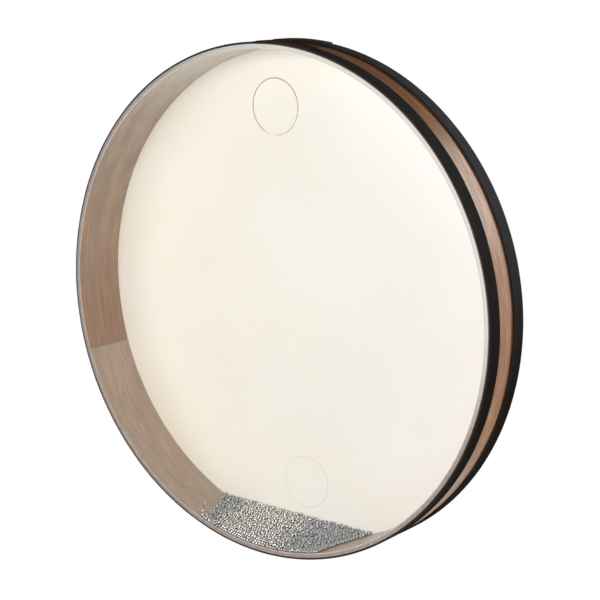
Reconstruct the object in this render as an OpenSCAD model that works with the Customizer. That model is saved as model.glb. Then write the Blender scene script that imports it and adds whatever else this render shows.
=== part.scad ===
// Ocean drum: a thin frame drum with a clear head, a skin head and a charge of loose steel balls.
// Axes: the drum's axis lies along Y, the clear head faces -Y and +Z is up.
// The origin is the middle of the drum, on its axis.

/* [Shell] */
// Outside diameter of the wooden shell
shell_d = 508; // [300:2:600]
// Width of the shell from edge to edge
shell_w = 59; // [46:1:90]
// Thickness of the outer and the inner ply
face_ply_t = 1.5; // [0.8:0.1:2.5]
// Thickness of the middle ply
core_ply_t = 1.8; // [0.8:0.1:3]
// Radius that the shell's outer edges are rounded to
edge_r = 0.8; // [0.3:0.1:1.4]
// Gap left where the two ends of a bent ply meet
ply_joint_gap = 0.4; // [0.2:0.1:1]

/* [Heads] */
// Thickness of the clear front film
film_t = 0.25; // [0.15:0.05:0.5]
// Thickness of the rear skin
skin_t = 0.35; // [0.15:0.05:0.8]
// How far the clear head comes down over the outside of the shell, a little past its tape
film_skirt = 18.6; // [8:0.2:22]
// How far the rear head comes down over it
skin_skirt = 13; // [8:0.5:16]

/* [Tape] */
// Width of each tape band
tape_w = 17.4; // [15:0.2:20]
// Thickness of the cloth tape
tape_t = 1.2; // [0.6:0.1:2]
// Distance from a head's face back to the edge of the tape
tape_setback = 0.3; // [0.1:0.1:1]
// Arc in degrees over which the tape's end lies on its own start
tape_lap_arc = 12.5; // [6:0.5:20]
// Arc in degrees over which the tape climbs on to its own start
tape_climb_arc = 2.7; // [2:0.1:5]

/* [Balls] */
// Diameter of one steel ball
ball_d = 3; // [2.6:0.2:5]
// Depth of the charge midway between the heads, above the lowest point of the shell
charge_depth = 14.2; // [11:0.2:22]
// How steeply the charge's top falls towards the clear head at its left end, in degrees
fall_left = 7.4; // [4:0.2:9]
// How steeply it falls there at its right end, in degrees
fall_right = 16.5; // [8:0.5:18]
// How far the charge's top leans down to the right, in degrees
charge_lean = 2.1; // [0:0.1:2.5]

/* [Hidden] */
// Film of glue between plies, and between a head and what it is stuck to
glue_t = 0.05;
// Running gap between the charge and the inside of the drum
charge_gap = 0.3;
// Gap between two neighbouring balls
ball_gap = 0.2;
// Overrun of every cut
overrun = 1;
// Angles in degrees from straight up towards +X at which each ply's ends meet
outer_joint_angle = 205;
core_joint_angle = 64;
inner_joint_angle = -108;
// Angles at which the front and the rear tape begin to climb on to their own starts
front_climb_angle = -3.2;
rear_climb_angle = -6.2;
// How far past the charge's left end each stray ball lies, in degrees, and its place across as a share
stray_angles_past_end = [0.1, 0.8, 1.5];
stray_place_shares = [0.02, 0.12, 0.33];
// Groups that the loose balls are drawn in
group_count = 6;

shell_r = shell_d / 2;
outer_ply_in_r = shell_r - face_ply_t;
core_ply_out_r = outer_ply_in_r - glue_t;
core_ply_in_r = core_ply_out_r - core_ply_t;
inner_ply_out_r = core_ply_in_r - glue_t;
bore_r = inner_ply_out_r - face_ply_t;
half_w = shell_w / 2;
front_y = -(half_w + glue_t + film_t);
rear_y = half_w + glue_t + skin_t;
ring_facets = 240;

ball_r = ball_d / 2;
ball_pitch = ball_d + ball_gap;
layer_pitch = ball_pitch * sin(60);
charge_r = bore_r - charge_gap;
// Rows of balls stand on rays from the axis, one pitch apart on the highest layer
greatest_depth = charge_depth + half_w * tan(fall_right);
row_angle = 2 * asin(ball_pitch / 2 / (charge_r - greatest_depth));
layer_count = floor((greatest_depth - ball_r) / layer_pitch) + 1;
row_balls = floor((shell_w - 2 * charge_gap - ball_pitch / 2) / ball_pitch);
first_ball_y = -half_w + charge_gap + ball_r;
// Angle from straight down to the charge's ends, and its half length
charge_half_arc = acos(1 - greatest_depth / charge_r);
charge_reach = charge_r * sin(charge_half_arc);
// Depth of loose balls that are drawn over the bed, which fills the rest of the charge
loose_depth = layer_pitch / cos(charge_half_arc);
bed_depth = loose_depth + ball_d + 2 * ball_gap;
bed_front_y = first_ball_y + ball_pitch / 2 + ball_r + ball_gap;
bed_steps = 10;

// Angle at which the charge's top falls towards the front at a place along it
function fall(x) = fall_left + (fall_right - fall_left) * (x / charge_reach + 1) / 2;
// Height of the charge's top at a place in the drum
function charge_top(x, y) = charge_depth - charge_r - x * tan(charge_lean) + y * tan(fall(x));
// Angle from straight down to the charge's left end at a place across the drum
function left_end(y) = acos(-charge_top(-charge_reach, y) / charge_r);
// Distance from the drum's axis to the centres of one layer of balls
function layer_r(layer) = charge_r - ball_r - layer * layer_pitch;
function row_x(layer, angle) = layer_r(layer) * sin(angle);
function row_z(layer, angle) = -layer_r(layer) * cos(angle);
// Rows of alternate layers nest, and alternate rows are set back by half a ball
function row_shift(layer, row) = (abs(layer + row) % 2) * ball_pitch / 2;
function ball_y(layer, row, index) = first_ball_y + index * ball_pitch + row_shift(layer, row);

// Puts a profile drawn as (radius, place along Y) on the drum's axis
module about_axis() {
    rotate([-90, 0, 0])
        rotate_extrude($fn = ring_facets)
            children();
}

// What is left of a square corner outside an arc of radius r, drawn with the corner at the origin
module corner_waste(r) {
    difference() {
        translate([-r, -overrun])
            square([r + overrun, r + overrun]);
        translate([-r, r])
            circle(r = r, $fn = 48);
    }
}

// A ring of veneer bent round, with its two ends meeting at an angle
module ply(out_r, thickness, joint_angle, rounding = 0) {
    difference() {
        about_axis()
            difference() {
                translate([out_r - thickness, -half_w])
                    square([thickness, shell_w]);
                if (rounding > 0)
                    for (side = [0, 1])
                        mirror([0, side])
                            translate([out_r, -half_w])
                                corner_waste(rounding);
            }
        rotate([0, joint_angle, 0])
            translate([-ply_joint_gap / 2, -half_w - overrun, out_r - thickness - overrun])
                cube([ply_joint_gap, shell_w + 2 * overrun, thickness + 2 * overrun]);
    }
}

module outer_ply() {
    color("peru")
        ply(shell_r, face_ply_t, outer_joint_angle, edge_r);
}

module core_ply() {
    color("burlywood")
        ply(core_ply_out_r, core_ply_t, core_joint_angle);
}

module inner_ply() {
    color("rosybrown")
        ply(inner_ply_out_r, face_ply_t, inner_joint_angle);
}

// Half the section of a flat dish whose face is on y = 0, with its corner rounded
module dish_section(r, height, rounding) {
    difference() {
        square([r, height]);
        translate([r, 0])
            corner_waste(rounding);
    }
}

// A head: a flat disc drawn over the shell's edge and down its outside
module head(thickness, skirt) {
    inside_r = shell_r + glue_t;
    inside_rounding = edge_r + glue_t;
    about_axis()
        difference() {
            dish_section(inside_r + thickness, skirt + thickness, inside_rounding + thickness);
            translate([-overrun, thickness])
                dish_section(inside_r + overrun, skirt + overrun, inside_rounding);
        }
}

module front_head() {
    color("aliceblue", 0.35)
        translate([0, front_y, 0])
            head(film_t, film_skirt);
}

module rear_head() {
    color("cornsilk")
        translate([0, rear_y, 0])
            mirror([0, 1, 0])
                head(skin_t, skin_skirt);
}

// A point on the tape's outline, drawn as seen from the front with up along +Y
function outline_point(r, angle) = [r * sin(angle), r * cos(angle)];

// The part of the plane where the tape lies twice, with the slope on which it climbs
module lap_area(once_r, climb_angle) {
    lap_end = climb_angle + tape_climb_arc + tape_lap_arc;
    reach = (once_r + 2 * tape_t) / cos(tape_lap_arc / 2 + tape_climb_arc);
    // The slope runs on by half its height and half its arc at both ends
    polygon([
        [0, 0],
        outline_point(once_r - tape_t / 2, climb_angle - tape_climb_arc / 2),
        outline_point(once_r + tape_t * 3 / 2, climb_angle + tape_climb_arc * 3 / 2),
        outline_point(reach, (climb_angle + lap_end) / 2),
        outline_point(reach, lap_end)
    ]);
}

// One strip of tape wound once round, whose end climbs on to its own start
module tape(in_r, climb_angle) {
    once_r = in_r + tape_t;
    twice_r = once_r + tape_t;
    rotate([90, 0, 0])
        linear_extrude(height = tape_w)
            difference() {
                circle(r = twice_r, $fn = ring_facets);
                circle(r = in_r, $fn = ring_facets);
                difference() {
                    circle(r = twice_r + overrun, $fn = ring_facets);
                    circle(r = once_r, $fn = ring_facets);
                    lap_area(once_r, climb_angle);
                }
            }
}

module front_tape() {
    color([0.13, 0.13, 0.15])
        translate([0, front_y + tape_setback + tape_w, 0])
            tape(shell_r + 2 * glue_t + film_t, front_climb_angle);
}

module rear_tape() {
    color([0.13, 0.13, 0.15])
        translate([0, rear_y - tape_setback, 0])
            tape(shell_r + 2 * glue_t + skin_t, rear_climb_angle);
}

// The space under the loose balls: a slab whose top is the charge's top, lowered
module under_loose_balls() {
    xs = [for (step = [0:bed_steps]) (2 * step / bed_steps - 1) * charge_reach];
    ys = [bed_front_y, half_w - charge_gap];
    // Four points at each step: top front, top rear, bottom front and bottom rear
    points = [
        for (x = xs)
            for (low = [0, 1])
                for (y = ys)
                    [x, y, low == 1 ? -charge_r - overrun : charge_top(x, y) - bed_depth]
    ];
    last = 4 * bed_steps;
    sides = [[0, 1], [1, 3], [3, 2], [2, 0]];
    strips = [
        for (step = [0:bed_steps - 1])
            for (side = sides)
                for (half = [0, 1])
                    half == 0
                        ? [4 * step + side[0], 4 * step + side[1], 4 * step + 4 + side[1]]
                        : [4 * step + side[0], 4 * step + 4 + side[1], 4 * step + 4 + side[0]]
    ];
    ends = [[0, 2, 3], [0, 3, 1], [last, last + 1, last + 3], [last, last + 3, last + 2]];
    polyhedron(points, concat(strips, ends));
}

// The body of the charge, where balls lie packed out of sight
module ball_bed() {
    color("dimgray")
        intersection() {
            rotate([90, 0, 0])
                cylinder(r = charge_r, h = 2 * shell_w, center = true, $fn = ring_facets);
            under_loose_balls();
        }
}

// True where a ball lies in the charge and can be seen from above or through the clear head
function is_loose(x, y, z, index) =
    let (depth = charge_top(x, y) - z)
    depth >= ball_r && (index == 0 || depth < ball_r + loose_depth);

module balls_between(from_angle, to_angle) {
    for (layer = [0:layer_count - 1])
        for (row = [ceil(from_angle / row_angle):ceil(to_angle / row_angle) - 1]) {
            angle = (row + (layer % 2) / 2) * row_angle;
            x = row_x(layer, angle);
            z = row_z(layer, angle);
            for (index = [0:row_balls - 1]) {
                y = ball_y(layer, row, index);
                if (is_loose(x, y, z, index))
                    translate([x, y, z])
                        sphere(d = ball_d, $fn = 16);
            }
        }
}

// One of the groups that the loose balls are drawn in, counted from the left
module ball_group(index) {
    arc = 2 * charge_half_arc / group_count;
    color("silver")
        balls_between(index * arc - charge_half_arc, (index + 1) * arc - charge_half_arc);
}

// Balls that lie by themselves on the shell, just past the charge's left end
module stray_balls() {
    color("silver")
        for (index = [0:len(stray_place_shares) - 1]) {
            y = first_ball_y + stray_place_shares[index] * (shell_w - 2 * charge_gap - ball_d);
            angle = left_end(y) + stray_angles_past_end[index];
            translate([-layer_r(0) * sin(angle), y, -layer_r(0) * cos(angle)])
                sphere(d = ball_d, $fn = 16);
        }
}

outer_ply();
core_ply();
inner_ply();
front_head();
rear_head();
front_tape();
rear_tape();
ball_bed();
ball_group(0);  // balls_far_left
ball_group(1);  // balls_left
ball_group(2);  // balls_mid_left
ball_group(3);  // balls_mid_right
ball_group(4);  // balls_right
ball_group(5);  // balls_far_right
stray_balls();
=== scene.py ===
"""Looks of an ocean drum: a thin wooden frame drum with a clear head, a skin head and loose steel balls."""

import logging
import math
from dataclasses import dataclass, field
from enum import Enum
from typing import Sequence

import bpy
import numpy as np
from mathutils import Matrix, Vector
from mathutils.kdtree import KDTree


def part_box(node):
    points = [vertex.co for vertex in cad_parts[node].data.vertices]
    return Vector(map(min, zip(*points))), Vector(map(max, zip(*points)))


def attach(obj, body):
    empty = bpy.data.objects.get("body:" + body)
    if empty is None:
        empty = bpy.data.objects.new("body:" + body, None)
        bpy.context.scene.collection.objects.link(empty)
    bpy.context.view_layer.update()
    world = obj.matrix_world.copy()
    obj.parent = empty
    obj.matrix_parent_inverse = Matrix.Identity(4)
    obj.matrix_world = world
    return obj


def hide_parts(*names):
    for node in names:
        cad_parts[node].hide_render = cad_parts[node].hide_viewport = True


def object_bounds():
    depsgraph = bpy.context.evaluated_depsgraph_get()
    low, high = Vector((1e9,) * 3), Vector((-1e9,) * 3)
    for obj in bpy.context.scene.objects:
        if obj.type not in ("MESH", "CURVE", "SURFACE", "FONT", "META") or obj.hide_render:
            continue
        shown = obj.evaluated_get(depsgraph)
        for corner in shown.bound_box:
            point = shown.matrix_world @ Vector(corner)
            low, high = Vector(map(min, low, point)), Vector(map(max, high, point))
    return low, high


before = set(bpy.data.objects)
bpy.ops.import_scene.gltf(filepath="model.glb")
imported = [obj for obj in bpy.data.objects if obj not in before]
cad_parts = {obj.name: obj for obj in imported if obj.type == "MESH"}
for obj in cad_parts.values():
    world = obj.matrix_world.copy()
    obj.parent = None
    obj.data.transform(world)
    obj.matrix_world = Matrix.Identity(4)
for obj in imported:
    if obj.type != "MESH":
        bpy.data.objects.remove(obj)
CAD_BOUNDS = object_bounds()

logging.basicConfig(level=logging.INFO, format="%(message)s")
log = logging.getLogger("ocean_drum")

MM = 0.001
SMOOTH_ANGLE = math.radians(35)
SAME_PLACE = 0.001 * MM
SAME_RING = 0.005 * MM

Colour = tuple[float, float, float, float]
Point = tuple[float, float, float]
Pair = tuple[float, float]
Profile = Sequence[Pair]

PRINTED_RING_R = 26.9 * MM
GOLD_RING: Pair = (15.7 * MM, 195.2 * MM)
FAINT_RING: Pair = (9.1 * MM, -193.7 * MM)


def srgb(red: float, green: float, blue: float) -> Colour:
    """Turn a colour seen on a screen into the linear colour that shaders use.

    Args:
        red: Red from 0 to 255.
        green: Green from 0 to 255.
        blue: Blue from 0 to 255.

    Returns:
        The linear colour, opaque.
    """

    def linear(value: float) -> float:
        """Return one channel in linear light."""
        share = value / 255
        return share / 12.92 if share <= 0.04045 else ((share + 0.055) / 1.055) ** 2.4

    return linear(red), linear(green), linear(blue), 1.0


def grey(level: float) -> Colour:
    """Return an opaque grey at a linear level."""
    return level, level, level, 1.0


def node_radii(name: str) -> Pair:
    """Measure how near to the drum's axis a CAD node comes, and how far from it.

    Args:
        name: The node's name.

    Returns:
        The least and the greatest radius, in metres.
    """
    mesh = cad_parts[name].data
    places = np.empty(len(mesh.vertices) * 3)
    mesh.vertices.foreach_get("co", places)
    radii = np.hypot(places[0::3], places[2::3])
    return float(radii.min()), float(radii.max())


# Shader building

# Numbers of sockets that are not a node's first.
OBJECT_PLACE = 3
FACTOR = 2
FACING = 1
BACKFACING = 6
COLOUR_A, COLOUR_B, MIXED = 6, 7, 2


class Channel:
    """One output of a shader node. Arithmetic on it adds Math nodes."""

    def __init__(self, shader: "Shader", socket: bpy.types.NodeSocket) -> None:
        """Keep the shader that the output belongs to, and the output's socket."""
        self.shader = shader
        self.socket = socket

    def maths(self, operation: str, *values: "Channel | float") -> "Channel":
        """Return the result of one Math node."""
        return self.shader.node("ShaderNodeMath", {"operation": operation}, dict(enumerate(values)))[0]

    def __add__(self, other: "Channel | float") -> "Channel":
        """Return the sum."""
        return self.maths("ADD", self, other)

    def __radd__(self, other: float) -> "Channel":
        """Return the sum, with the number on the left."""
        return self.maths("ADD", other, self)

    def __sub__(self, other: "Channel | float") -> "Channel":
        """Return the difference."""
        return self.maths("SUBTRACT", self, other)

    def __rsub__(self, other: float) -> "Channel":
        """Return the difference, with the number on the left."""
        return self.maths("SUBTRACT", other, self)

    def __mul__(self, other: "Channel | float") -> "Channel":
        """Return the product."""
        return self.maths("MULTIPLY", self, other)

    def __rmul__(self, other: float) -> "Channel":
        """Return the product, with the number on the left."""
        return self.maths("MULTIPLY", other, self)

    def __truediv__(self, other: "Channel | float") -> "Channel":
        """Return the quotient."""
        return self.maths("DIVIDE", self, other)

    def __pow__(self, other: float) -> "Channel":
        """Return this to a power."""
        return self.maths("POWER", self, other)

    def rise(self, low: float, high: float) -> "Channel":
        """Climb smoothly from 0 to 1.

        Args:
            low: Value at which the climb starts.
            high: Value at which it ends, which may be lower than the start.

        Returns:
            0 before the climb and 1 after it.
        """
        settings = {"interpolation_type": "SMOOTHSTEP"}
        inputs = {0: self, 1: low, 2: high, 3: 0.0, 4: 1.0}
        if low > high:
            inputs = {0: self, 1: high, 2: low, 3: 1.0, 4: 0.0}
        return self.shader.node("ShaderNodeMapRange", settings, inputs)[0]

    def sine(self) -> "Channel":
        """Return the sine."""
        return self.maths("SINE", self)

    def clear_of(self, centre: float) -> "Channel":
        """Return the distance from a value."""
        return self.maths("ABSOLUTE", self - centre)

    def parts(self) -> list["Channel"]:
        """Return the X, Y and Z of a vector."""
        return self.shader.node("ShaderNodeSeparateXYZ", {}, {0: self})


class Shader:
    """The nodes of a material or a world under construction."""

    def __init__(self, owner: bpy.types.Material | bpy.types.World) -> None:
        """Start with no nodes.

        Args:
            owner: The material or world that the nodes belong to.
        """
        owner.use_nodes = True
        self.owner = owner
        self.tree = owner.node_tree
        self.tree.nodes.clear()

    def node(self, kind: str, settings: dict, inputs: dict) -> list[Channel]:
        """Add a node.

        Args:
            kind: The node's type.
            settings: Properties that are set before its sockets, by name.
            inputs: Values or channels for its sockets, by number or name.

        Returns:
            All the node's outputs, in order.
        """
        made = self.tree.nodes.new(kind)
        for name, value in settings.items():
            setattr(made, name, value)
        for key, value in inputs.items():
            if isinstance(value, Channel):
                self.tree.links.new(value.socket, made.inputs[key])
            else:
                made.inputs[key].default_value = value
        return [Channel(self, socket) for socket in made.outputs]

    def place(self) -> list[Channel]:
        """Return X, Y and Z of the point being shaded, in metres."""
        return self.node("ShaderNodeTexCoord", {}, {})[OBJECT_PLACE].parts()

    def strip(self) -> list[Channel]:
        """Return U and V, from 0 to 1 along and across a strip."""
        return self.node("ShaderNodeUVMap", {}, {})[0].parts()[:2]

    def attribute(self, name: str) -> Channel:
        """Return a number that the mesh carries at each point."""
        return self.node("ShaderNodeAttribute", {"attribute_name": name}, {})[FACTOR]

    def noise(self, x: Channel, y: Channel, z: Channel | float, detail: float = 3.0) -> Channel:
        """Return soft noise about 0.5 at a place given in cycles."""
        vector = self.node("ShaderNodeCombineXYZ", {}, {0: x, 1: y, 2: z})[0]
        return self.node("ShaderNodeTexNoise", {}, {"Vector": vector, "Scale": 1.0, "Detail": detail})[0]

    def mix(self, share: Channel | float, first: Channel | Colour, second: Channel | Colour) -> Channel:
        """Return a colour between two colours."""
        inputs = {0: share, COLOUR_A: first, COLOUR_B: second}
        return self.node("ShaderNodeMix", {"data_type": "RGBA"}, inputs)[MIXED]

    def relief(self, height: Channel, distance: float, strength: float = 1.0) -> Channel:
        """Return a normal bent by a height map whose full range is a distance in metres."""
        inputs = {"Strength": strength, "Distance": distance, "Height": height}
        return self.node("ShaderNodeBump", {}, inputs)[0]

    def done(self, inputs: dict) -> bpy.types.Material:
        """Finish with one Principled surface.

        Args:
            inputs: Values or channels for its sockets, by name.

        Returns:
            The finished material.
        """
        surface = self.node("ShaderNodeBsdfPrincipled", {}, inputs)[0]
        self.node("ShaderNodeOutputMaterial", {}, {0: surface})
        return self.owner


class Round:
    """Where a shaded point lies round the drum."""

    def __init__(self, shader: Shader, cut_angle: float) -> None:
        """Work out radius, arc and place across.

        Args:
            shader: The shader that reads them.
            cut_angle: Angle in degrees, from up towards +X, at which the arc starts and ends.
        """
        x, self.y, z = shader.place()
        turn = math.radians(cut_angle)
        across = z * math.sin(turn) - x * math.cos(turn)
        down = -1.0 * (x * math.sin(turn)) - z * math.cos(turn)
        self.radius = (x * x + z * z) ** 0.5
        self.share = x.maths("ARCTAN2", across, down) / (2 * math.pi) + 0.5
        self.height = z


# Finishes


@dataclass(frozen=True)
class WoodFinish:
    """Bare or stained veneer bent round the drum, with its grain along the bend, and with painted light and
    shade that change with height.
    """

    name: str
    early: Colour
    late: Colour
    fibre: Colour
    raw_edge: Colour
    joint_angle: float
    edge_y: float
    round_length: float
    seed: float
    fade: float = 0.0
    fade_share: float = 0.2
    # Painted shading near the top of the shell.
    top_painted_shading: Colour = srgb(106, 50, 26)
    top_painted_shading_share: float = 0.0
    top_painted_shading_height: Pair = (0.15, 0.25)
    # Painted light near the foot of the shell.
    low_painted_light: Colour = srgb(226, 208, 190)
    low_painted_light_share: float = 0.0
    low_painted_light_height: Pair = (-0.08, -0.2)
    # Grey-brown for patches, and for painted shade higher up.
    grey_patch_and_painted_shade: Colour = srgb(126, 119, 106)
    cast_share: float = 0.0
    even_height: Pair = (0.05, -0.1)
    even_share: float = 0.7
    high_painted_shade: float = 0.0
    high_painted_shade_height: Pair = (0.0, 0.14)
    roughness: float = 0.5
    broad_share: float = 0.4
    fibre_share: float = 0.35
    pore_share: float = 0.45
    relief: float = 0.06 * MM
    edge_blur: float = 0.3 * MM
    patch_cycles: Pair = (22.0, 60.0)
    broad_cycles: Pair = (9.0, 70.0)
    figure_cycles: Pair = (26.0, 420.0)
    fibre_cycles: Pair = (60.0, 1900.0)
    pore_cycles: Pair = (190.0, 3600.0)

    def material(self) -> bpy.types.Material:
        """Make the wood a material.

        Returns:
            The finished material.
        """
        shader = Shader(bpy.data.materials.new(self.name))
        place = Round(shader, self.joint_angle)
        arc = place.share * self.round_length

        def layer(cycles: Pair, detail: float) -> Channel:
            """Make noise that is stretched along the grain.

            Args:
                cycles: Cycles in a metre along the grain and across it.
                detail: How many finer layers it holds.

            Returns:
                The noise, about 0.5.
            """
            along, across = cycles
            depth = place.radius * across + self.seed
            return shader.noise(arc * along, place.y * across, depth, detail)

        broad = layer(self.broad_cycles, 3.0).rise(0.3, 0.7)
        figure = layer(self.figure_cycles, 3.0).rise(0.32, 0.68)
        fibre = layer(self.fibre_cycles, 2.0).rise(0.35, 0.7)
        pores = layer(self.pore_cycles, 1.0).rise(0.62, 0.74)
        figured = broad * self.broad_share + figure * (1 - self.broad_share)
        tone = place.share.rise(0.0, self.fade_share) * self.fade + figured * (1 - self.fade)
        colour = shader.mix(tone, self.early, self.late)
        patches = layer(self.patch_cycles, 4.0).rise(0.4, 0.65)
        # Grey-brown patches, kept off the lower part, and painted shade: greyer and darker higher up the
        # wall.
        high = place.height.rise(*self.high_painted_shade_height) * self.high_painted_shade
        even = place.height.rise(*self.even_height) * self.even_share
        colour = shader.mix(patches * (1.0 - even) * self.cast_share + high, colour, self.grey_patch_and_painted_shade)
        # Painted shading near the top: darker and redder, streaked with the figure, on the outer ply;
        # paler, a painted reflection, on the inner ply.
        near_top_painted_shading = place.height.rise(*self.top_painted_shading_height) * (1.3 - figured * 0.6)
        colour = shader.mix(near_top_painted_shading * self.top_painted_shading_share, colour, self.top_painted_shading)
        # Painted light near the foot: paler, standing in for light from the white floor.
        near_foot_painted_light = place.height.rise(*self.low_painted_light_height) * self.low_painted_light_share
        colour = shader.mix(near_foot_painted_light, colour, self.low_painted_light)
        colour = shader.mix(fibre * self.fibre_share, colour, self.fibre)
        colour = shader.mix(pores * self.pore_share, colour, self.fibre)
        at_edge = place.y.clear_of(0.0).rise(self.edge_y - self.edge_blur, self.edge_y)
        colour = shader.mix(at_edge, colour, self.raw_edge)
        return shader.done({
            "Base Color": colour,
            "Roughness": self.roughness + fibre * 0.12,
            "Normal": shader.relief(fibre * 0.6 - pores, self.relief, 0.5),
            "Specular IOR Level": 0.5,
        })


@dataclass(frozen=True)
class FilmFinish:
    """Clear film, milky where it is glued down on the shell's edge, with painted light and shade on the
    glued band and a painted reflection that grows at grazing angles and towards the right.
    """

    name: str
    bore_r: float
    outer_r: float
    tint: Colour = srgb(236, 238, 244)
    # Glue colours with painted shade on the left and at the bottom, and painted light on the right.
    glue_painted_shade_left: Colour = srgb(158, 149, 147)
    glue_painted_light_right: Colour = srgb(210, 208, 201)
    glue_painted_shade_low: Colour = srgb(150, 137, 129)
    glue_line: Colour = srgb(228, 226, 220)
    # A dark line along the film's outer edge.
    dark_rim_line: Colour = srgb(62, 48, 42)
    glue_painted_edge_shade: Colour = srgb(104, 96, 93)
    glue_inset: float = 0.6 * MM
    glue_blur: float = 0.4 * MM
    line_pitch: float = 2.1 * MM
    line_share: float = 0.35
    shade_reach: Pair = (6.0 * MM, 2.0 * MM)
    shade_share: float = 0.35
    right_edge: float = 1.3 * MM
    left_edge: float = 1.2 * MM
    edge_share: float = 0.9
    haze: float = 0.02
    # Painted reflection: more veil towards the right and at grazing angles.
    side_painted_reflection: float = 0.025
    grazing_painted_reflection: float = 0.08
    glue_haze: float = 0.78

    def material(self) -> bpy.types.Material:
        """Make the film a material.

        Returns:
            The finished material.
        """
        shader = Shader(bpy.data.materials.new(self.name))
        x, _, z = shader.place()
        radius = (x * x + z * z) ** 0.5
        glue_r = self.bore_r + self.glue_inset
        glued = radius.rise(glue_r - self.glue_blur, glue_r + self.glue_blur)
        slant = shader.node("ShaderNodeLayerWeight", {}, {"Blend": 0.5})[FACING]
        drift = shader.noise(x * 9, z * 6, 0.0, 2.0)
        # Alpha over a pale base: haze from the noise, plus painted reflection that grows at grazing angles
        # and towards the right.
        haze_and_painted_reflection = slant * slant * self.grazing_painted_reflection + drift * self.haze + (x * 2 + 0.5) * self.side_painted_reflection
        lines = (radius * (2 * math.pi / self.line_pitch)).sine().rise(0.1, 0.9)
        flecks = shader.noise(x * 160, z * 160, 0.0, 2.0).rise(0.3, 0.6)
        # Painted light and shade on the glued band: darker on the left and at the bottom, paler on the
        # right.
        glue_and_painted_light = shader.mix(x.rise(-0.2, 0.08), self.glue_painted_shade_left, self.glue_painted_light_right)
        glue_and_painted_light = shader.mix(z.rise(0.02, -0.12), glue_and_painted_light, self.glue_painted_shade_low)
        glue_and_painted_light = shader.mix(lines * flecks * self.line_share, glue_and_painted_light, self.glue_line)
        # Painted shade on the glue near the outer edge, on the left.
        near, far = (self.outer_r - reach for reach in self.shade_reach)
        shade = radius.rise(near, far) * x.rise(-0.02, -0.14) * self.shade_share
        glue_and_painted_light = shader.mix(shade, glue_and_painted_light, self.glue_painted_edge_shade)
        # A dark line along the film's outer edge, on the right and on the left, stronger towards the bottom
        # on the left.
        inner = self.outer_r - self.right_edge
        on_right = radius.rise(inner, inner + self.glue_blur) * x.rise(-0.17, -0.05)
        glue_and_painted_light = shader.mix(on_right * self.edge_share, glue_and_painted_light, self.dark_rim_line)
        inner = self.outer_r - self.left_edge
        on_left = radius.rise(inner - self.glue_blur, inner) * x.rise(-0.02, -0.16)
        glue_and_painted_light = shader.mix(on_left * (0.5 + z.rise(0.02, -0.14) * 0.4), glue_and_painted_light, self.dark_rim_line)
        return shader.done({
            "Base Color": shader.mix(glued, self.tint, glue_and_painted_light),
            "Alpha": haze_and_painted_reflection + glued * self.glue_haze,
            "Roughness": 0.12 + glued * 0.25,
            "IOR": 1.5,
        })


@dataclass(frozen=True)
class SkinFinish:
    """A taut cream head of coated cloth or hide, faintly mottled, with painted shade in the middle and
    towards the top left, and a painted warm reflection towards the left and the bottom.
    """

    name: str
    ring: Pair
    ring_r: float = PRINTED_RING_R
    ring_blur: float = 0.7 * MM
    pale: Colour = srgb(240, 238, 235)
    warm: Colour = srgb(235, 226, 203)
    # Painted shade colour.
    dulled: Colour = srgb(204, 198, 184)
    middle_painted_shade_reach: Pair = (0.26, 0.11)
    middle_painted_shade_share: float = 0.3
    shade_share: float = 0.28
    ink: Colour = srgb(176, 172, 162)
    ink_share: float = 0.45
    relief: float = 0.05 * MM

    def material(self) -> bpy.types.Material:
        """Make the skin a material.

        Returns:
            The finished material.
        """
        shader = Shader(bpy.data.materials.new(self.name))
        x, y, z = shader.place()
        clouds = shader.noise(x * 7, z * 12, 0.0, 4.0).rise(0.3, 0.75)
        fibres = shader.noise(x * 260, z * 420, y * 90, 3.0)
        ring_x, ring_z = self.ring
        from_ring = ((x - ring_x) ** 2.0 + (z - ring_z) ** 2.0) ** 0.5
        ring = from_ring.clear_of(self.ring_r).rise(self.ring_blur, 0.0)
        mottle = clouds * 0.25 + fibres * 0.1
        # Mottling, plus a painted warm reflection from the wooden wall: warmer towards the left and the
        # bottom.
        mottle_and_painted_bounce = mottle + x.rise(0.2, -0.26) * 0.5 + z.rise(-0.02, -0.2) * 0.14
        colour = shader.mix(mottle_and_painted_bounce, self.pale, self.warm)
        # Painted shade: darker towards the middle of the head, and towards the top left.
        dulled = ((x * x + z * z) ** 0.5).rise(*self.middle_painted_shade_reach) * self.middle_painted_shade_share
        shaded = z.rise(0.06, 0.2) * x.rise(0.14, -0.08) * self.shade_share
        colour = shader.mix(dulled + shaded, colour, self.dulled)
        colour = shader.mix(ring * self.ink_share, colour, self.ink)
        return shader.done({
            "Base Color": colour,
            "Roughness": 0.48 + fibres * 0.15,
            "Normal": shader.relief(fibres, self.relief, 0.3),
            "Specular IOR Level": 0.35,
        })


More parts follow.
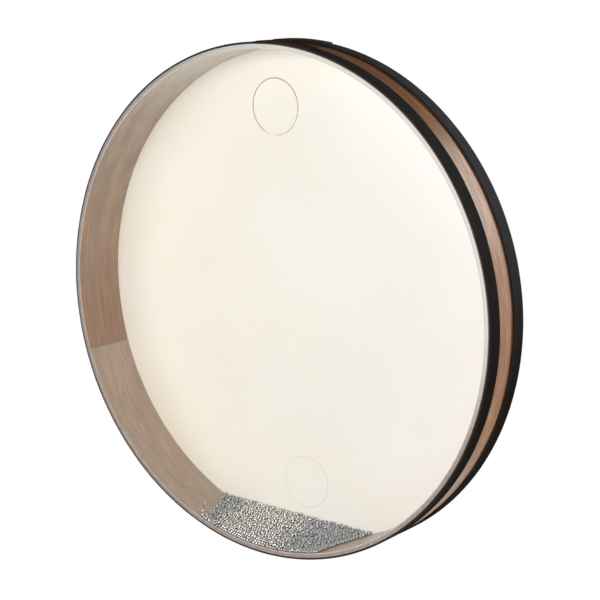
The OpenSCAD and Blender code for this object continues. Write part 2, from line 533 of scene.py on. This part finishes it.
@dataclass(frozen=True)
class ClothFinish:
    """Black cloth tape, woven fine, with a soft sheen, a painted sheen towards the top, and a browner cut
    edge.
    """

    name: str
    length: float
    width: float
    painted_sheen_share: float = 0.0
    thread: float = 0.75 * MM
    relief: float = 0.25 * MM
    cut_reach: Pair = (0.16, 0.05)
    cut_share: float = 0.75
    painted_sheen_height: Pair = (-0.08, 0.22)
    black: Colour = srgb(12, 11, 10)
    grey: Colour = srgb(42, 38, 36)
    painted_top_sheen: Colour = srgb(86, 86, 89)
    brown: Colour = srgb(54, 38, 29)

    def material(self) -> bpy.types.Material:
        """Make the cloth a material.

        Returns:
            The finished material.
        """
        shader = Shader(bpy.data.materials.new(self.name))
        along, across = shader.strip()
        arc = along * self.length
        width = across * self.width
        turns = 2 * math.pi / self.thread
        warp = (width * turns).sine()
        weft = (arc * turns).sine()
        weave = warp * weft * 0.5 + 0.5
        streaks = shader.noise(arc * 45, width * 1300, 0.0, 3.0).rise(0.3, 0.72)
        wear = shader.noise(arc * 30, width * 120, 4.0, 3.0).rise(0.45, 0.8)
        tone = streaks * 0.45 + weave * 0.2 + wear * 0.25
        colour = shader.mix(tone, self.black, self.grey)
        # Painted sheen: lighter, bluish grey towards the top.
        high = shader.place()[2].rise(*self.painted_sheen_height) * self.painted_sheen_share
        colour = shader.mix(high * (0.6 + tone * 0.4), colour, self.painted_top_sheen)
        colour = shader.mix(across.rise(*self.cut_reach) * self.cut_share, colour, self.brown)
        return shader.done({
            "Base Color": colour,
            "Roughness": 0.62 + streaks * 0.25,
            "Normal": shader.relief(weave * 0.6 + streaks * 0.7, self.relief, 0.7),
            "Specular IOR Level": 0.01,
            "Sheen Weight": 0.01,
            "Sheen Roughness": 0.45,
            "Sheen Tint": srgb(190, 196, 215),
        })


@dataclass(frozen=True)
class SteelFinish:
    """Small steel balls, each painted from dark to bright to stand in for highlights, with painted shade in
    the gaps between them.
    """

    name: str
    fixed_tone: float | None = None
    dark: Colour = srgb(184, 188, 193)
    bright: Colour = srgb(255, 253, 247)
    # Painted shade in the gaps between the balls.
    painted_gap_shade: Colour = srgb(84, 81, 77)
    painted_gap_shade_share: float = 0.9
    stain_cycles: float = 900.0

    def material(self) -> bpy.types.Material:
        """Make the steel a material.

        Returns:
            The finished material.
        """
        shader = Shader(bpy.data.materials.new(self.name))
        x, y, z = shader.place()
        cycles = self.stain_cycles
        stain = shader.noise(x * cycles, y * cycles, z * cycles, 2.0)
        tone = shader.attribute("tone") if self.fixed_tone is None else self.fixed_tone
        # Painted highlight: the ball's tone runs from steel grey to near white.
        colour = shader.mix(tone, self.dark, self.bright)
        colour = shader.mix(stain.rise(0.55, 0.8) * 0.25, colour, self.dark)
        # Painted shade where balls touch.
        colour = shader.mix(shader.attribute("painted_gap_shade") * self.painted_gap_shade_share, colour, self.painted_gap_shade)
        return shader.done({
            "Base Color": colour,
            "Metallic": 1.0,
            "Roughness": 0.42 - tone * 0.3 + stain * 0.08,
        })


@dataclass(frozen=True)
class InkFinish:
    """A thin printed line, its ink rubbed away on one side."""

    name: str
    centre: Pair
    ink: Colour
    dulled: Colour
    metallic: float = 0.0
    gap_x: float = -5.5 * MM
    gap_reach: Pair = (6.5 * MM, 4.5 * MM)
    gap_share: float = 0.0
    wear_reach: Pair = (-16.0 * MM, 30.0 * MM)

    def material(self) -> bpy.types.Material:
        """Make the ink a material.

        Returns:
            The finished material.
        """
        shader = Shader(bpy.data.materials.new(self.name))
        x, _, z = shader.place()
        centre_x, centre_z = self.centre
        across, up = x - centre_x, z - centre_z
        lean = (across * 0.4 - up).rise(*self.wear_reach)
        flecks = shader.noise(x * 800, z * 800, 0.0, 2.0).rise(0.4, 0.7)
        dulled = lean * 0.75 + flecks * 0.2
        at_foot = up.rise(0.0, -10 * MM) * self.gap_share
        gap = across.clear_of(self.gap_x).rise(*self.gap_reach) * at_foot
        return shader.done({
            "Base Color": shader.mix(dulled, self.ink, self.dulled),
            "Metallic": self.metallic,
            "Roughness": 0.35 + flecks * 0.2,
            "Alpha": (0.95 - lean * 0.5) * (1.0 - gap),
        })


# Modelling


class Ends(Enum):
    """How the two ends of a turned profile are closed."""

    ON_AXIS = "the first and the last ring are each filled to the axis"
    JOINED = "the last ring meets the first"


def deselect() -> None:
    """Leave object mode with nothing selected."""
    if bpy.context.object and bpy.context.object.mode != "OBJECT":
        bpy.ops.object.mode_set(mode="OBJECT")
    bpy.ops.object.select_all(action="DESELECT")


def settle_object(piece: bpy.types.Object) -> None:
    """Put an object's place into its mesh, so that it sits at the origin.

    Args:
        piece: The object.
    """
    deselect()
    piece.select_set(True)
    bpy.context.view_layer.objects.active = piece
    bpy.ops.object.transform_apply(location=True, rotation=True, scale=True)


def smooth(piece: bpy.types.Object, angle: float = SMOOTH_ANGLE) -> None:
    """Shade a piece smooth, apart from its sharp edges.

    Args:
        piece: The piece.
        angle: Angle in radians past which an edge stays sharp.
    """
    deselect()
    piece.select_set(True)
    bpy.context.view_layer.objects.active = piece
    bpy.ops.object.shade_smooth_by_angle(angle=angle)


def select_ring(piece: bpy.types.Object, radius: float, y: float) -> None:
    """Select the vertices of one ring of a turned piece, which is in edit mode.

    Args:
        piece: The piece.
        radius: The ring's radius.
        y: The ring's place along the axis.
    """
    bpy.ops.mesh.select_all(action="DESELECT")
    bpy.ops.object.mode_set(mode="OBJECT")
    for vertex in piece.data.vertices:
        off_radius = abs(math.hypot(vertex.co.x, vertex.co.z) - radius)
        vertex.select = off_radius < SAME_RING and abs(vertex.co.y - y) < SAME_RING
    bpy.ops.object.mode_set(mode="EDIT")


def turned(name: str, profile: Profile, segments: int, ends: Ends) -> bpy.types.Object:
    """Turn a profile about the drum's axis into a closed solid.

    Args:
        name: The new piece's name.
        profile: Points as (radius, place along Y), in metres.
        segments: Steps in a full turn.
        ends: How the profile's two ends are closed.

    Returns:
        The piece, at the origin, with its faces pointing outwards.
    """
    deselect()
    radius, y = profile[0]
    bpy.ops.mesh.primitive_circle_add(
        vertices=segments, radius=radius, location=(0, y, 0), rotation=(math.pi / 2, 0, 0)
    )
    piece = bpy.context.active_object
    piece.name = piece.data.name = name
    settle_object(piece)
    bpy.ops.object.mode_set(mode="EDIT")
    bpy.ops.mesh.select_mode(type="VERT")
    bpy.ops.mesh.select_all(action="SELECT")
    path = list(profile[1:]) + (list(profile[:1]) if ends is Ends.JOINED else [])
    for next_radius, next_y in path:
        bpy.ops.mesh.extrude_edges_move(TRANSFORM_OT_translate={"value": (0, next_y - y, 0)})
        ratio = next_radius / radius
        bpy.ops.transform.resize(value=(ratio, 1, ratio), center_override=(0, next_y, 0))
        radius, y = next_radius, next_y
    if ends is Ends.ON_AXIS:
        bpy.ops.mesh.edge_face_add()
        bpy.ops.mesh.poke()
        select_ring(piece, *profile[0])
        bpy.ops.mesh.edge_face_add()
        bpy.ops.mesh.poke()
    bpy.ops.mesh.select_all(action="SELECT")
    bpy.ops.mesh.remove_doubles(threshold=SAME_PLACE)
    bpy.ops.mesh.normals_make_consistent(inside=False)
    bpy.ops.object.mode_set(mode="OBJECT")
    smooth(piece)
    return piece


def corner(centre: Pair, radius: float, start: float, steps: int = 4) -> list[Pair]:
    """Draw a quarter turn of a profile.

    Args:
        centre: Centre as (radius, place along Y).
        radius: Radius of the turn.
        start: Angle in degrees at which it starts, from outwards towards +Y.
        steps: Straight stretches in it.

    Returns:
        Its points.
    """
    angles = [math.radians(start + 90 * step / steps) for step in range(steps + 1)]
    return [(centre[0] + radius * math.cos(a), centre[1] + radius * math.sin(a)) for a in angles]


def dress(piece: bpy.types.Object, material: bpy.types.Material) -> None:
    """Give a piece one material.

    Args:
        piece: The piece.
        material: Its finish.
    """
    piece.data.materials.clear()
    piece.data.materials.append(material)


# The drum


@dataclass
class WoodenShell:
    """The three plies, which stay as the CAD model has them."""

    round_length: float = 2 * math.pi * node_radii("outer_ply")[1]
    half_w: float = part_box("outer_ply")[1].y

    def finishes(self) -> dict[str, WoodFinish]:
        """Choose the plies' finishes.

        Returns:
            Each ply's finish by the ply's name.
        """
        shared = {"edge_y": self.half_w, "round_length": self.round_length}
        return {
            "outer_ply": WoodFinish(
                name="outer wood",
                early=srgb(140, 88, 49), late=srgb(196, 143, 95),
                fibre=srgb(88, 50, 28), fibre_share=0.6,
                raw_edge=srgb(200, 180, 160),
                joint_angle=205, seed=3.0, roughness=0.3,
                # Painted shade near the top and painted light near the foot.
                top_painted_shading_share=0.55, top_painted_shading_height=(0.18, 0.25), low_painted_light_share=0.42,
                **shared,
            ),
            "core_ply": WoodFinish(
                name="core wood",
                early=srgb(196, 170, 138), late=srgb(214, 190, 160),
                fibre=srgb(150, 120, 90),
                raw_edge=srgb(212, 194, 170),
                joint_angle=64, seed=8.0,
                **shared,
            ),
            "inner_ply": WoodFinish(
                name="inner wood",
                early=srgb(159, 112, 70), late=srgb(204, 181, 160),
                fibre=srgb(112, 80, 60),
                raw_edge=srgb(200, 182, 164),
                joint_angle=-108, seed=5.0, fade=0.6, roughness=0.3,
                # Painted reflection near the top, and painted shade higher up the wall.
                top_painted_shading=srgb(220, 214, 202), top_painted_shading_share=0.75, top_painted_shading_height=(0.165, 0.245),
                cast_share=0.4, high_painted_shade=0.2,
                **shared,
            ),
        }

    def build(self) -> list[bpy.types.Object]:
        """Give each ply its wood.

        Returns:
            The plies.
        """
        finishes = self.finishes()
        for ply, finish in finishes.items():
            dress(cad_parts[ply], finish.material())
        return [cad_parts[ply] for ply in finishes]


@dataclass
class Head:
    """One head: a disc drawn over the shell's edge and down its outside."""

    name: str
    node: str
    slot: str
    finish: FilmFinish | SkinFinish
    thickness: float
    face: float
    side: int
    segments: int = 256
    rounding: float = 1.1 * MM
    ring_shares: tuple[float, ...] = (0.1, 0.3, 0.5, 0.7, 0.85, 0.95)

    def profile(self) -> Profile:
        """Draw the head's section.

        Returns:
            Its points, from the middle of the inner face to the middle of the outer one.
        """
        low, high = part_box(self.node)
        outer_r = node_radii(self.node)[1]
        skirt_end = high.y if self.side < 0 else low.y
        inner_face = self.face - self.side * self.thickness
        inside = self.rounding - self.thickness
        middle = (outer_r - self.rounding, self.face - self.side * self.rounding)
        start = 0 if self.side > 0 else -90
        inner_turn = corner(middle, inside, start)
        outer_turn = corner(middle, self.rounding, start)
        if self.side > 0:
            inner_turn.reverse()
        else:
            outer_turn.reverse()
        inner_rings = [(outer_r * share, inner_face) for share in self.ring_shares]
        outer_rings = [(outer_r * share, self.face) for share in reversed(self.ring_shares)]
        inner_edge = [(outer_r - self.thickness, skirt_end)]
        outer_edge = [(outer_r, skirt_end)]
        return inner_rings + inner_turn + inner_edge + outer_edge + outer_turn + outer_rings

    def build(self) -> list[bpy.types.Object]:
        """Make the head, dress it and hide its CAD node.

        Returns:
            The finished piece.
        """
        piece = turned(self.name, self.profile(), self.segments, Ends.ON_AXIS)
        dress(piece, self.finish.material())
        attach(piece, "drum")
        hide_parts(self.node)
        return [piece]


@dataclass
class PrintedRing:
    """A plain thin ring printed on a head."""

    name: str
    slot: str
    finish: InkFinish
    centre: Pair
    y: float
    radius: float = PRINTED_RING_R
    line: float = 1.1 * MM
    thickness: float = 0.04 * MM
    segments: int = 128

    def build(self) -> list[bpy.types.Object]:
        """Make the ring inside the thickness of its head.

        Returns:
            The finished piece.
        """
        near, far = self.radius - self.line / 2, self.radius + self.line / 2
        back, front = self.y, self.y - self.thickness
        section = [(near, front), (far, front), (far, back), (near, back)]
        piece = turned(self.name, section, self.segments, Ends.JOINED)
        centre_x, centre_z = self.centre
        piece.location = (centre_x, 0, centre_z)
        settle_object(piece)
        dress(piece, self.finish.material())
        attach(piece, "drum")
        return [piece]


@dataclass
class ClothTape:
    """A strip of cloth tape wound once round the shell, with its end lapped over its start."""

    name: str
    node: str
    climb_angle: float
    wave_seed: int
    # How much painted sheen the tape gets towards its top.
    painted_sheen_share: float = 0.0
    width: float = 17.4 * MM
    thickness: float = 1.2 * MM
    climb_arc: float = 2.7
    lap_arc: float = 12.5
    lap_gap: float = 0.02 * MM
    edge_wander: float = 0.16 * MM
    swell: float = 0.05 * MM
    swell_slant: float = 40.0
    waves_per_turn: tuple[int, ...] = (5, 13, 29, 61)
    cut_rounding: float = 0.4 * MM
    sharp_angle: float = math.radians(60)
    steps_along: int = 900
    steps_across: int = 8

    def wander(self, angles: np.ndarray, amplitude: float, key: int) -> np.ndarray:
        """Return an uneven wave round the drum.

        Args:
            angles: Angles in degrees.
            amplitude: Greatest size of the wave.
            key: Which wave of this tape it is.

        Returns:
            One value for each angle.
        """
        draw = np.random.default_rng(self.wave_seed + key)
        turn = np.radians(angles)
        waves = sum(np.sin(turn * count + draw.uniform(0, 2 * math.pi)) for count in self.waves_per_turn)
        return amplitude * waves / len(self.waves_per_turn)

    def wrap(self, piece: bpy.types.Object) -> None:
        """Bend a flat strip round the shell.

        Args:
            piece: The strip, one unit long and one wide.
        """
        low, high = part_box(self.node)
        inner_r = node_radii(self.node)[0]
        mesh = piece.data
        flat = np.empty(len(mesh.vertices) * 3)
        mesh.vertices.foreach_get("co", flat)
        along = flat[0::3] + 0.5
        across = flat[1::3] + 0.5
        start = self.climb_angle + self.climb_arc
        angles = start + along * (360 + self.lap_arc)
        climb = np.clip((angles - start - 360 + self.climb_arc) / self.climb_arc, 0, 1)
        lift = climb * climb * (3 - 2 * climb) * (self.thickness + self.lap_gap)
        swell = self.wander(angles + across * self.swell_slant, self.swell, 0)
        radius = inner_r + self.thickness / 2 + lift - self.swell + swell
        front = low.y + self.edge_wander + self.wander(angles, self.edge_wander, 1)
        back = high.y - self.edge_wander + self.wander(angles, self.edge_wander, 2)
        flat[0::3] = radius * np.sin(np.radians(angles))
        flat[1::3] = front + (back - front) * across
        flat[2::3] = radius * np.cos(np.radians(angles))
        mesh.vertices.foreach_set("co", flat)
        mesh.update()

    def build(self) -> list[bpy.types.Object]:
        """Make the tape, dress it and hide its CAD node.

        Returns:
            The finished piece.
        """
        deselect()
        bpy.ops.mesh.primitive_grid_add(
            x_subdivisions=self.steps_along, y_subdivisions=self.steps_across, size=1, calc_uvs=True
        )
        piece = bpy.context.active_object
        piece.name = piece.data.name = self.name
        self.wrap(piece)
        wall = piece.modifiers.new("wall", "SOLIDIFY")
        wall.thickness, wall.offset = self.thickness - 2 * self.swell, 0
        rounded = piece.modifiers.new("rounded cut", "BEVEL")
        rounded.width, rounded.segments = self.cut_rounding, 3
        rounded.limit_method, rounded.angle_limit = "ANGLE", self.sharp_angle
        for modifier in ("wall", "rounded cut"):
            bpy.ops.object.modifier_apply(modifier=modifier)
        smooth(piece, self.sharp_angle)
        length = math.radians(360 + self.lap_arc) * node_radii(self.node)[0]
        finish = ClothFinish(self.name.replace("_", " "), length, self.width, self.painted_sheen_share)
        dress(piece, finish.material())
        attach(piece, "drum")
        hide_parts(self.node)
        return [piece]


@dataclass
class BallCharge:
    """The heap of loose steel balls at the bottom of the drum."""

    ball_d: float = 3.0 * MM
    ball_segments: int = 8
    ball_rings: int = 6
    depth: float = 14.2 * MM
    fall_left: float = 7.4
    fall_right: float = 16.5
    lean: float = 2.1
    gap: float = 0.15 * MM
    bump: float = 0.9 * MM
    left_ends: Point = (-80.2 * MM, -87.0 * MM, -99.0 * MM)
    right_ends: Point = (64.0 * MM, 73.0 * MM, 93.0 * MM)
    layer: float = 1.2
    bedded: float = 0.7
    packing: float = 0.58
    clearance: float = 1.005
    push_share: float = 0.45
    tries: int = 90000
    rounds: int = 160
    seed: int = 7
    # Where painted highlights fall on the heap.
    bright_middle: Pair = (-0.21, 0.47)
    bright_chance: float = 0.82
    bright_at_film: float = 0.7
    bright_beside: Pair = (0.17, 0.06)
    bright_tones: Pair = (0.8, 1.0)
    dark_tones: Pair = (0.0, 0.3)
    # How painted shade in the gaps is spread.
    gap_shade_from: float = 1.5
    gap_shade_depth: float = 0.42
    bore_r: float = node_radii("inner_ply")[0]
    half_w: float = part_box("inner_ply")[1].y
    groups: dict[str, tuple[str, ...]] = field(default_factory=lambda: {
        "loose_balls_left": ("balls_far_left", "balls_left"),
        "loose_balls_middle": ("ball_bed", "balls_mid_left", "balls_mid_right"),
        "loose_balls_right": ("balls_right", "balls_far_right"),
    })

    def __post_init__(self) -> None:
        """Work out how far the heap reaches to each side."""
        self.charge_r = self.bore_r - self.gap
        self.deepest = self.depth + self.half_w * math.tan(math.radians(self.fall_right))
        self.reach = self.charge_r * math.sin(math.acos(1 - self.deepest / self.charge_r))

    def ends(self, y: np.ndarray) -> list[np.ndarray]:
        """Return how far the balls reach to the left and to the right, at distances along the axis."""
        stops = (-self.half_w, 0.0, self.half_w)
        return [np.interp(y, stops, places) for places in (self.left_ends, self.right_ends)]

    def top(self, x: np.ndarray, y: np.ndarray) -> np.ndarray:
        """Work out how high the heap's top is, at least one layer of balls up to its ends.

        Args:
            x: Places across the drum.
            y: Places along its axis.

        Returns:
            The top's height at each place.
        """
        fall = self.fall_left + (self.fall_right - self.fall_left) * (x / self.reach + 1) / 2
        lean = x * math.tan(math.radians(self.lean))
        level = self.depth - self.charge_r - lean + y * np.tan(np.radians(fall))
        layer = self.ball_d * self.layer - np.sqrt(self.charge_r**2 - x**2)
        left, right = self.ends(y)
        return np.where((x > left) & (x < right), np.maximum(level, layer), level)

    def bumps(self, balls: np.ndarray) -> np.ndarray:
        """Return how much the heap's top rises or falls unevenly at each ball."""
        x, y = balls[:, 0] / self.ball_d, balls[:, 1] / self.ball_d
        return self.bump * np.sin(x * 1.7 + np.sin(y * 1.3) * 2) * np.cos(y * 1.1 + np.sin(x * 0.7) * 2)

    def confine(self, balls: np.ndarray) -> None:
        """Move balls back between the heads, inside the shell and under the heap's top.

        Args:
            balls: The balls' centres, which are changed.
        """
        ball_r = self.ball_d / 2
        limit_y = self.half_w - self.gap - ball_r
        balls[:, 1] = np.clip(balls[:, 1], -limit_y, limit_y)
        balls[:, 0] = np.clip(balls[:, 0], *self.ends(balls[:, 1]))
        top = self.top(balls[:, 0], balls[:, 1]) - ball_r * self.bedded + self.bumps(balls)
        balls[:, 2] = np.minimum(balls[:, 2], top)
        radius = np.hypot(balls[:, 0], balls[:, 2])
        shrink = np.minimum(1, (self.charge_r - ball_r) / radius)
        balls[:, 0] *= shrink
        balls[:, 2] *= shrink

    def scatter(self) -> np.ndarray:
        """Choose random places that fill the heap to its packing.

        Returns:
            The balls' first centres, many of which overlap.
        """
        draw = np.random.default_rng(self.seed)
        low = (-self.reach, -self.half_w, -self.charge_r)
        high = (self.reach, self.half_w, self.deepest - self.charge_r)
        tried = draw.uniform(low, high, (self.tries, 3))
        inside = np.hypot(tried[:, 0], tried[:, 2]) < self.charge_r
        inside &= tried[:, 2] < self.top(tried[:, 0], tried[:, 1])
        box_volume = math.prod(b - a for a, b in zip(low, high))
        heap_volume = box_volume * inside.mean()
        wanted = int(self.packing * heap_volume / (math.pi * self.ball_d**3 / 6))
        return tried[inside][:wanted]

    def settle(self) -> np.ndarray:
        """Push overlapping balls apart until they lie beside each other.

        Returns:
            The balls' centres, sorted along X.
        """
        balls = self.scatter()
        apart = self.ball_d * self.clearance
        for _ in range(self.rounds):
            balls = balls[np.argsort(balls[:, 0], kind="stable")]
            push = np.zeros_like(balls)
            for step in range(1, len(balls)):
                between = balls[step:] - balls[:-step]
                if not (between[:, 0] < apart).any():
                    break
                distance = np.maximum(np.linalg.norm(between, axis=1), SAME_PLACE)
                overlap = np.clip(apart - distance, 0, None)
                move = between * (overlap / distance * self.push_share)[:, None]
                push[step:] += move
                push[:-step] -= move
            balls += push
            self.confine(balls)
        return balls

    def tones(self, balls: np.ndarray) -> np.ndarray:
        """Choose which balls carry a painted highlight, more of them in the middle of the heap's left half.

        Args:
            balls: The balls' centres.

        Returns:
            A tone from 0, dark, to 1, bright, for each ball.
        """
        draw = np.random.default_rng(self.seed + 1)
        # Painted highlights: most in the middle of the heap, fewer against the film, a few to each side.
        x = balls[:, 0] / self.reach
        centre, spread = self.bright_middle
        middle = np.exp(-(((x - centre) / spread) ** 4))
        from_film = balls[:, 1] + self.half_w
        shown = np.where(from_film < self.ball_d, self.bright_at_film, 1.0)
        chance = self.bright_chance * middle * shown + np.where(x < 0, *self.bright_beside)
        bright = draw.uniform(size=len(balls)) < chance
        bright_tones = draw.uniform(*self.bright_tones, len(balls))
        return np.where(bright, bright_tones, draw.uniform(*self.dark_tones, len(balls)))

    def painted_gap_shade(self, tree: KDTree, places: np.ndarray) -> np.ndarray:
        """Work out how deep in the gaps between the balls each point lies, for painted shade there.

        Args:
            tree: All the balls' centres.
            places: Points on the balls.

        Returns:
            0 in the open to 1 where two balls touch, for each point.
        """

        def beside(place: np.ndarray) -> float:
            """Return the distance of a point from the second nearest ball's centre."""
            _, (_, _, distance) = tree.find_n(place, 2)
            return distance

        distances = np.array([beside(place) for place in places]) / (self.ball_d / 2)
        return np.clip((self.gap_shade_from - distances) / self.gap_shade_depth, 0, 1)

    def cluster(self, name: str, balls: np.ndarray, tones: np.ndarray, tree: KDTree) -> bpy.types.Object:
        """Copy one modelled ball to many places as one piece.

        Args:
            name: The piece's name.
            balls: The balls' centres.
            tones: Each ball's tone.
            tree: The centres of all the balls in the heap.

        Returns:
            The piece, with each ball a shell of its own.
        """
        deselect()
        bpy.ops.mesh.primitive_uv_sphere_add(
            segments=self.ball_segments, ring_count=self.ball_rings, radius=self.ball_d / 2
        )
        piece = bpy.context.active_object
        piece.name = piece.data.name = name
        points = np.array([vertex.co for vertex in piece.data.vertices])
        faces = [tuple(polygon.vertices) for polygon in piece.data.polygons]
        places = (balls[:, None, :] + points[None, :, :]).reshape(-1, 3)
        starts = range(0, len(places), len(points))
        shells = [tuple(start + vertex for vertex in face) for start in starts for face in faces]
        piece.data.clear_geometry()
        piece.data.from_pydata(places.tolist(), [], shells)
        # Each ball's painted highlight tone, and painted shade in the gaps.
        carried = {"tone": np.repeat(tones, len(points)), "painted_gap_shade": self.painted_gap_shade(tree, places)}
        for carried_name, values in carried.items():
            attribute = piece.data.attributes.new(carried_name, "FLOAT", "POINT")
            attribute.data.foreach_set("value", values.astype(np.float32))
        bpy.ops.object.shade_smooth()
        return piece

    def build(self) -> list[bpy.types.Object]:
        """Make the heap in as many pieces as it has groups, and give the strays their steel.

        Returns:
            The pieces of the heap, then the strays.
        """
        balls = self.settle()
        tones = self.tones(balls)
        tree = KDTree(len(balls))
        for index, ball in enumerate(balls):
            tree.insert(ball, index)
        tree.balance()
        steel = SteelFinish(name="steel ball").material()
        cuts = np.linspace(0, len(balls), len(self.groups) + 1).astype(int)
        pieces = []
        for (name, nodes), first, last in zip(self.groups.items(), cuts, cuts[1:]):
            piece = self.cluster(name, balls[first:last], tones[first:last], tree)
            dress(piece, steel)
            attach(piece, "charge")
            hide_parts(*nodes)
            pieces.append(piece)
        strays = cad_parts["stray_balls"]
        dress(strays, SteelFinish(name="stray steel ball", fixed_tone=0.5).material())
        return pieces + [strays]


# The studio


@dataclass(frozen=True)
class SoftLight:
    """A square soft light that faces the drum."""

    place: Point
    power: float
    size: float

    def build(self, name: str) -> None:
        """Add the light.

        Args:
            name: The light's name.
        """
        deselect()
        bpy.ops.object.light_add(type="AREA", location=self.place)
        light = bpy.context.active_object
        light.name = name
        light.data.energy = self.power
        light.data.size = self.size
        light.rotation_euler = (-Vector(self.place)).to_track_quat("-Z", "Y").to_euler()


@dataclass
class Studio:
    """Camera, soft lights, white surroundings and a pale floor that is clear from below."""

    camera_place: Point = (0.9526, -1.2363, 0.3274)
    camera_yaw: float = 36.949
    camera_pitch: float = -11.806
    lens: float = 96.5
    sensor: float = 36.0
    floor_gap: float = 0.5 * MM
    floor_size: float = 12.0
    floor_glow: float = 1.0
    floor_bounce: float = 0.85
    floor_shine: float = 0.2
    floor_roughness: float = 0.9
    ambient: float = 0.1
    lights: dict[str, SoftLight] = field(default_factory=lambda: {
        "front light": SoftLight((0.2, -3.2, 0.15), 98.0, 1.8),
        "left light": SoftLight((-1.8, -2.6, 0.4), 26.0, 1.8),
        "right light": SoftLight((2.7, -0.7, 0.0), 8.0, 0.5),
        "back light": SoftLight((1.5, 2.5, 1.3), 44.0, 1.6),
        "low back light": SoftLight((2.4, 2.0, 0.25), 20.0, 0.9),
        "rear light": SoftLight((-1.4, 3.0, 0.1), 35.0, 0.8),
    })

    def camera(self) -> None:
        """Place the camera where the photograph was taken from."""
        deselect()
        turn = (math.radians(90 + self.camera_pitch), 0, math.radians(self.camera_yaw))
        bpy.ops.object.camera_add(location=self.camera_place, rotation=turn)
        camera = bpy.context.active_object
        camera.data.lens = self.lens
        camera.data.sensor_width = self.sensor
        camera.data.sensor_fit = "AUTO"
        bpy.context.scene.camera = camera

    def surroundings(self) -> None:
        """Make the world white to the eye and dimmer as light."""
        world = bpy.data.worlds.new("white surroundings")
        bpy.context.scene.world = world
        shader = Shader(world)
        seen = shader.node("ShaderNodeLightPath", {}, {})[0]
        strength = seen * (1.0 - self.ambient) + self.ambient
        light = shader.node("ShaderNodeBackground", {}, {"Color": grey(1.0), "Strength": strength})[0]
        shader.node("ShaderNodeOutputWorld", {}, {0: light})

    def floor(self) -> None:
        """Lay a pale floor just under the drum."""
        deselect()
        lowest = CAD_BOUNDS[0].z - self.floor_gap
        bpy.ops.mesh.primitive_plane_add(size=self.floor_size, location=(0, 0, lowest))
        floor = bpy.context.active_object
        floor.name = "floor"
        shader = Shader(bpy.data.materials.new("pale floor"))
        seen = shader.node("ShaderNodeLightPath", {}, {})[0]
        from_below = shader.node("ShaderNodeNewGeometry", {}, {})[BACKFACING]
        floor.data.materials.append(shader.done({
            "Alpha": 1.0 - from_below,
            "Base Color": shader.mix(seen, grey(self.floor_bounce), grey(0.0)),
            "Roughness": self.floor_roughness,
            "Specular IOR Level": 0.0,
            "Emission Color": shader.mix(seen, grey(self.floor_shine), grey(1.0)),
            "Emission Strength": self.floor_glow,
        }))

    def build(self) -> None:
        """Set the whole studio up."""
        view = bpy.context.scene.view_settings
        view.view_transform = "Standard"
        view.look = "None"
        self.camera()
        self.surroundings()
        self.floor()
        for name, light in self.lights.items():
            light.build(name)


def main() -> None:
    """Build the studio and the drum, and report each piece."""
    Studio().build()
    log.info("studio ready")
    front_face, rear_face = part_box("front_head")[0].y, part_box("rear_head")[1].y
    film = FilmFinish("clear film", node_radii("inner_ply")[0], node_radii("front_head")[1])
    skin = SkinFinish("cream skin", FAINT_RING)
    gold = InkFinish(
        "gold ink", GOLD_RING,
        ink=srgb(160, 136, 66), dulled=srgb(186, 172, 122), metallic=0.1, gap_share=0.9,
    )
    faint = InkFinish("grey ink", FAINT_RING, ink=srgb(120, 112, 100), dulled=srgb(160, 152, 140))
    parts = (
        WoodenShell(),
        Head(
            "clear_head", "front_head", "clear_film", film,
            thickness=0.25 * MM, face=front_face, side=-1,
        ),
        PrintedRing("gold_ring", "clear_film", gold, GOLD_RING, y=front_face + 0.12 * MM),
        Head(
            "skin_head", "rear_head", "drum_skin", skin,
            thickness=0.35 * MM, face=rear_face, side=1, rounding=1.2 * MM,
        ),
        PrintedRing("rear_ring", "drum_skin", faint, FAINT_RING, y=rear_face - 0.005 * MM),
        ClothTape("front_cloth_tape", "front_tape", climb_angle=-3.2, wave_seed=11, painted_sheen_share=0.3),
        ClothTape("rear_cloth_tape", "rear_tape", climb_angle=-6.2, wave_seed=23, painted_sheen_share=0.8),
        BallCharge(),
    )
    for part in parts:
        for piece in part.build():
            finish = piece.data.materials[0].name
            log.info("%s: %d faces, %s", piece.name, len(piece.data.polygons), finish)


if __name__ == "__main__":
    main()
